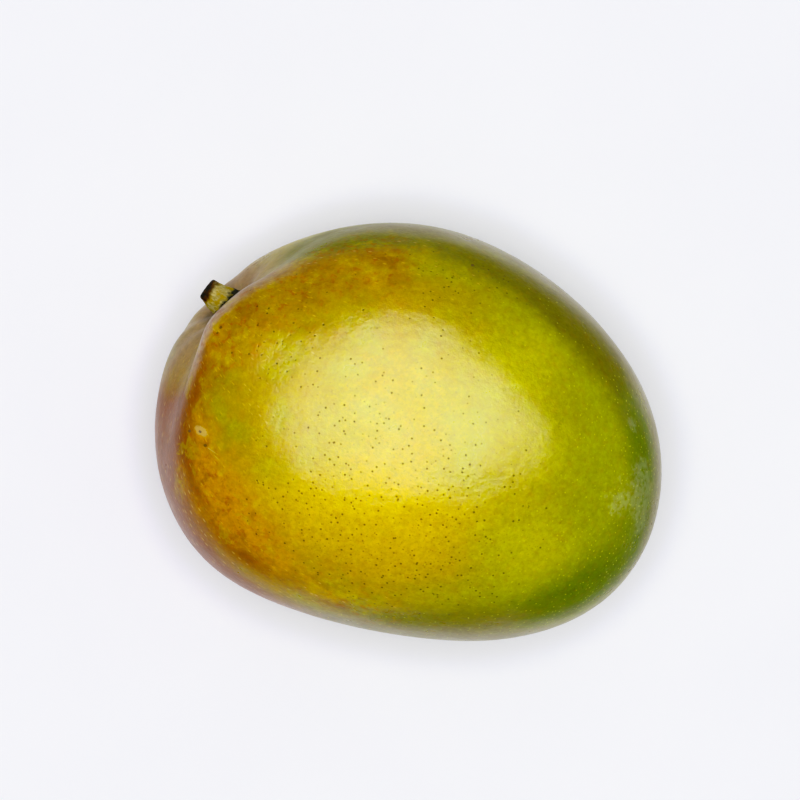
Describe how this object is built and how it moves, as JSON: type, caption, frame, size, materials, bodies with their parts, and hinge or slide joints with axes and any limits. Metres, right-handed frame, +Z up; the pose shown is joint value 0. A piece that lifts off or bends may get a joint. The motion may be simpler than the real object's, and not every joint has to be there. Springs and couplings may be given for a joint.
{
  "type": "mango",
  "caption": "Whole ripe mango lying on its cheek, with a short cut stem stub seated in the basin of its stem end.",
  "frame": {"origin": "middle of the small flat spot on the cheek that the fruit rests on", "axes": "+Z up from the surface it rests on, +X along the fruit from the stem end to the apex, +Y across the fruit to its back, the side that the stem leans to"},
  "size_m": [0.1221, 0.0964, 0.0833],
  "materials": {
    "skin": "waxy smooth fruit skin, green at the apex through yellow to orange and dusty red at the stem end, with fine dark and pale dots",
    "stem_wood": "dry matt stem, olive-tan with a near-black cut rim and collar"
  },
  "bodies": {
    "root": {"fruit": "skin", "stem": "stem_wood"}
  },
  "joints": []
}
